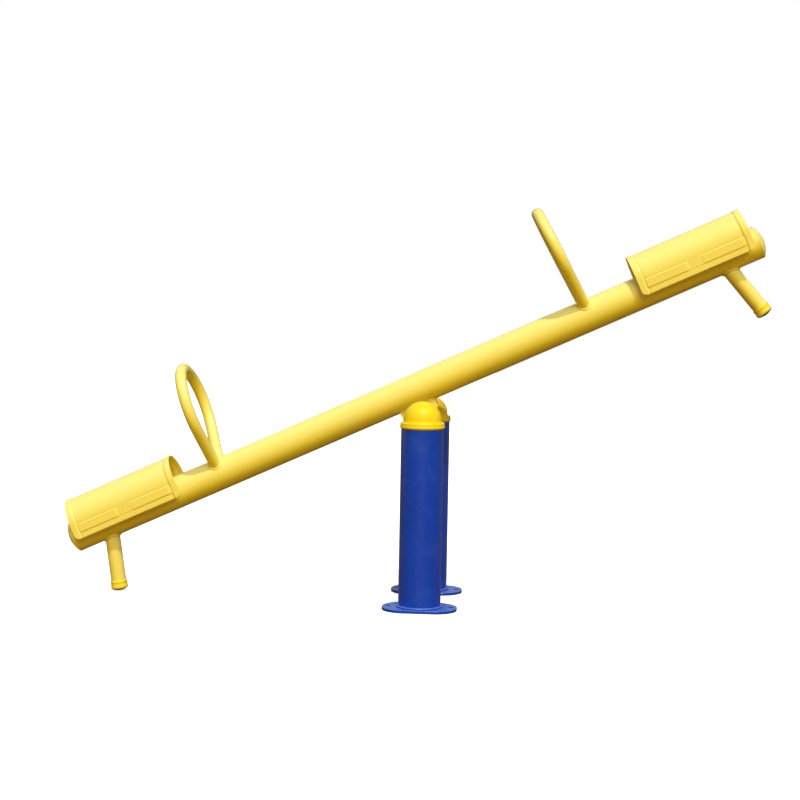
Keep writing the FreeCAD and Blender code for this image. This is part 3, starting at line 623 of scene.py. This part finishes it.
# ---------------------------------------------------------------- stand
CAP_DOME = 51 * MM
CAP_DOME_ABOVE = 21.7 * MM
CAP_RIM = 17 * MM
CAP_LIP = 7 * MM
CAP_SOCKET = 57.2 * MM
CAP_SEAT = 14 * MM
CAP_WALL = 3 * MM
CAP_STEP = 1.1 * MM
DOME_STEPS = 28
GATE_ANGLE = math.radians(86)
GATE_DEPTH = 0.5 * MM
POST_BEAD = 5 * MM
POST_BEAD_OUT = 0.8 * MM
BOSS_RADIUS = 17 * MM
BOSS_BEAD = 2.2 * MM


def post_cap(end):
    """A moulded dome over a two-step rim, with a shallow gate mark on top."""
    low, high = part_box(f"{end}_post_cap")
    rim = (high.x - low.x) / 2
    foot = Vector((0, (low.y + high.y) / 2, low.z))
    profile = [
        (CAP_SOCKET, 0),
        (rim - 2.6 * MM, 0),
        (rim, 3.6 * MM),
        (rim, CAP_LIP),
        (rim - CAP_STEP, CAP_LIP + 0.9 * MM),
        (rim - CAP_STEP, CAP_RIM - 2.5 * MM),
        (rim - 3.4 * MM, CAP_RIM),
        (CAP_DOME + 1.5 * MM, CAP_RIM),
    ]
    profile = softened(profile, 1.6 * MM)
    for step in range(DOME_STEPS + 1):
        angle = math.pi / 2 * step / DOME_STEPS
        top = CAP_DOME - (GATE_DEPTH if angle > GATE_ANGLE else 0)
        profile.append((CAP_DOME * math.cos(angle), CAP_DOME_ABOVE + top * math.sin(angle)))
    inner = CAP_DOME - CAP_WALL
    for step in range(DOME_STEPS // 2, -1, -1):
        angle = math.pi / 2 * step / (DOME_STEPS // 2)
        profile.append((inner * math.cos(angle), CAP_DOME_ABOVE + inner * math.sin(angle)))
    profile += [(inner, CAP_SEAT), (CAP_SOCKET, CAP_SEAT), (CAP_SOCKET, 0)]
    points, faces = lathe(profile, foot, Z_AXIS, 144)
    make_piece(f"{end}_cap", points, faces, "stand", "yellow_plastic", [f"{end}_post_cap"])


for end, side in ENDS:
    post_cap(end)
    low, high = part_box(f"{end}_post")
    radius, middle = (high.x - low.x) / 2, Vector((0, (low.y + high.y) / 2, low.z))
    ring = circle(middle + Z_AXIS * POST_BEAD_OUT, Z_AXIS, radius + POST_BEAD_OUT)
    weld(f"{end}_post_weld", ring, POST_BEAD, True, "stand", "blue_paint")
    ring = []
    for step in range(90):
        angle = math.tau * step / 90
        x, z = BOSS_RADIUS * math.cos(angle), PIVOT.z + BOSS_RADIUS * math.sin(angle)
        ring.append(Vector((x, middle.y - side * math.sqrt(radius ** 2 - x ** 2), z)))
    weld(f"{end}_boss_weld", ring, BOSS_BEAD, True, "stand", "blue_paint")

# ---------------------------------------------------------------- bearing housing and gussets
GUSSET_BEAD = 2.6 * MM
GUSSET_ARC = math.radians(66)
HOUSING_BEAD_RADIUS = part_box("bearing_housing")[1].x + 0.3 * MM
for end, _ in ENDS:
    low, high = beam_box(f"{end}_gusset")
    for face, y in (("near", low[1]), ("far", high[1])):
        height = -math.sqrt(BEAM_RADIUS ** 2 - y ** 2)
        line = [on_beam(low[0], y, height), on_beam(high[0], y, height)]
        weld(f"{end}_gusset_{face}_top_weld", line, GUSSET_BEAD, False)
        centre = Vector((PIVOT.x, y, PIVOT.z))
        arc = circle(centre, Y_AXIS, HOUSING_BEAD_RADIUS, -GUSSET_ARC, GUSSET_ARC, ABOVE)
        weld(f"{end}_gusset_{face}_housing_weld", arc, GUSSET_BEAD, False)

# ---------------------------------------------------------------- floor, light and camera
FLOOR_REACH = 14.0
FLOOR_DROP = 0.4 * MM


def floor():
    """White paper just below the ground, which lights and shades nothing but itself."""
    mesh = bpy.data.meshes.new("studio_floor")
    corners = [(-1, -1), (1, -1), (1, 1), (-1, 1)]
    points = [(x * FLOOR_REACH, y * FLOOR_REACH, -FLOOR_DROP) for x, y in corners]
    mesh.from_pydata(points, [], [(0, 1, 2, 3)])
    plane = bpy.data.objects.new("studio_floor", mesh)
    bpy.context.scene.collection.objects.link(plane)
    material, tree, shader, place = new_material(
        "studio_paper", Roughness=0.85, Emission_Color=rgb(1, 1, 1), Emission_Strength=0.6
    )
    tone = mix(tree, cloud(tree, place, 3, 4), rgb(0.93, 0.93, 0.925), rgb(0.9, 0.9, 0.9))
    tree.links.new(tone, shader.inputs["Base Color"])
    mesh.materials.append(material)
    plane.visible_diffuse = False
    plane.visible_glossy = False
    plane.visible_shadow = False


def world():
    """A white backdrop to the camera, and a softer sky, bright overhead, for the light it gives."""
    sky = bpy.data.worlds.new("studio")
    sky.use_nodes = True
    tree = sky.node_tree
    shade = tree.nodes["Background"]
    out = next(node for node in tree.nodes if node.type == "OUTPUT_WORLD")
    up = add(tree, "ShaderNodeTexCoord").outputs["Generated"]
    height = add(tree, "ShaderNodeSeparateXYZ", {"Vector": up}).outputs["Z"]
    overhead = remap(tree, height, -0.3, 0.2, 0.0, 1.0)
    tint = mix(tree, overhead, rgb(1.0, 0.66, 0.36), rgb(0.92, 0.96, 1.0))
    tree.links.new(tint, shade.inputs["Color"])
    tree.links.new(remap(tree, height, -0.2, 0.9, 0.16, 0.4), shade.inputs["Strength"])
    paper = add(tree, "ShaderNodeBackground", {"Color": rgb(1, 1, 1), "Strength": 1.0})
    seen = add(tree, "ShaderNodeLightPath").outputs["Is Camera Ray"]
    both = add(tree, "ShaderNodeMixShader")
    tree.links.new(seen, both.inputs[0])
    tree.links.new(shade.outputs[0], both.inputs[1])
    tree.links.new(paper.outputs[0], both.inputs[2])
    tree.links.new(both.outputs[0], out.inputs["Surface"])
    bpy.context.scene.world = sky


def lamp(name, direction, strength, colour, spread, shines=True):
    """A distant lamp in direction, spread degrees wide; one that doesn't shine adds no highlight."""
    light = bpy.data.lights.new(name, "SUN")
    light.energy = strength
    light.color = colour
    light.angle = math.radians(spread)
    holder = bpy.data.objects.new(name, light)
    bpy.context.scene.collection.objects.link(holder)
    holder.rotation_mode = "QUATERNION"
    holder.rotation_quaternion = Vector(direction).to_track_quat("Z", "Y")
    holder.visible_glossy = shines


def camera():
    """A low view, a little from the right and rolled slightly."""
    azimuth, elevation, roll = math.radians(4.86), math.radians(3.56), math.radians(0.995)
    target, distance = Vector((-0.0733, 0, 0.5534)), 4.54
    level = math.cos(elevation)
    back = Vector((math.sin(azimuth) * level, -math.cos(azimuth) * level, math.sin(elevation)))
    data = bpy.data.cameras.new("camera")
    data.sensor_width, data.lens = 36, 74.2
    data.clip_start, data.clip_end = 0.05, 100
    holder = bpy.data.objects.new("camera", data)
    bpy.context.scene.collection.objects.link(holder)
    holder.location = target + back * distance
    holder.rotation_mode = "QUATERNION"
    right = (-back).cross(Z_AXIS).normalized()
    upright = right.cross(-back)
    tilted_right = right * math.cos(roll) + upright * math.sin(roll)
    tilted_up = -right * math.sin(roll) + upright * math.cos(roll)
    basis = Matrix((tilted_right, tilted_up, back)).transposed()
    holder.rotation_quaternion = basis.to_quaternion()
    bpy.context.scene.camera = holder


floor()
world()
lamp("key", (0.142, -0.511, 0.848), 1.72, (1.0, 1.0, 0.98), 1.5)
lamp("fill", (0.17, -0.8, 0.574), 1.45, (1.0, 0.96, 0.9), 30.0, shines=False)
lamp("floor_glow", (0.1, -0.985, -0.139), 0.45, (1.0, 0.62, 0.3), 40.0, shines=False)
lamp("back", (-0.25, 0.84, 0.48), 1.1, (1.0, 0.98, 0.95), 40.0, shines=False)
camera()
bpy.context.scene.view_settings.view_transform = "Standard"
